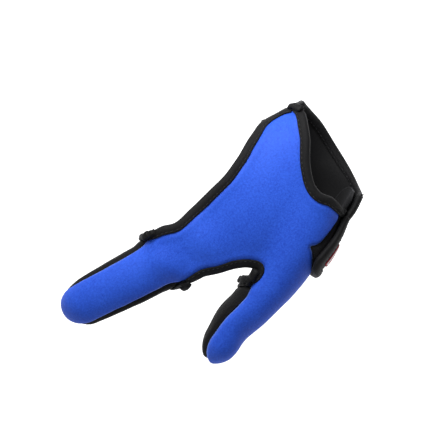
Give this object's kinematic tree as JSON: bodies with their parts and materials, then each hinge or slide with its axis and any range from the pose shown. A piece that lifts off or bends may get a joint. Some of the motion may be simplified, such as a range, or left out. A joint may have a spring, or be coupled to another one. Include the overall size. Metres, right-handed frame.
{
  "type": "fishing glove",
  "caption": "Right-hand casting glove of blue neoprene with closed index and thumb stalls, an open palm, black bound edges and a hook-and-loop wrist strap, in its worn form.",
  "frame": {"origin": "middle of the wrist opening, where the wrist passes through", "axes": "+X up the forearm, away from the fingertips; +Y towards the little finger; +Z out of the back of the hand"},
  "size_m": [0.1848, 0.0981, 0.0506],
  "materials": {
    "blue_neoprene": "matt knit-faced neoprene",
    "black_grip": "fine pebbled grip cloth",
    "black_binding": "ribbed folded tape",
    "black_strap": "soft knit-faced strap",
    "loop_fabric": "brushed loop pile",
    "hook_fabric": "fine moulded hooks",
    "label_cloth": "woven red label with a white border"
  },
  "bodies": {
    "root": {"back_panel": "blue_neoprene", "index_palm_panel": "black_grip", "thumb_palm_panel": "black_grip", "loop_patch": "loop_fabric", "wrist_strap": "black_strap", "strap_binding": "black_binding", "hook_patch": "hook_fabric", "label": "label_cloth", "outer_binding": "black_binding", "index_mouth_binding": "black_binding", "web_binding": "black_binding", "thumb_mouth_binding": "black_binding", "wrist_binding": "black_binding"}
  },
  "joints": []
}
